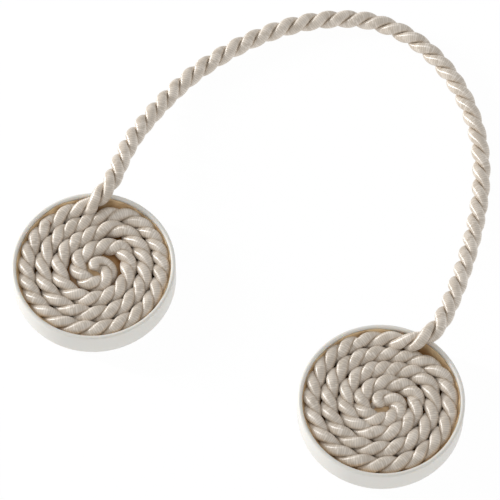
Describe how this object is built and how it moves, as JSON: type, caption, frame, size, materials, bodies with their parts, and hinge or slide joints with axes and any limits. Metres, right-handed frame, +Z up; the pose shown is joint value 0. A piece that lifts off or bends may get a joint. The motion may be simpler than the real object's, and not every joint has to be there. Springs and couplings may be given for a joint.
{
  "type": "magnetic curtain tieback",
  "caption": "Curtain tieback: shallow round plastic cups, each filled with a glued flat coil of twisted rope, joined by one free arc of the same rope.",
  "frame": {"origin": "midway between the two cups' centres, on the plane of their flat backs", "axes": "+X from the left cup to the right one, +Y towards the arc of rope, +Z up, out of the cups' open faces"},
  "size_m": [0.1476, 0.1483, 0.0164],
  "materials": {
    "cup_plastic": "moulded off-white plastic, satin",
    "rope_yarn": "oatmeal-beige satin yarn wrapped round soft strands"
  },
  "bodies": {
    "root": {"cup_left": "cup_plastic", "cup_right": "cup_plastic", "winding_left": "rope_yarn", "winding_right": "rope_yarn", "rope_arc": "rope_yarn"}
  },
  "joints": []
}
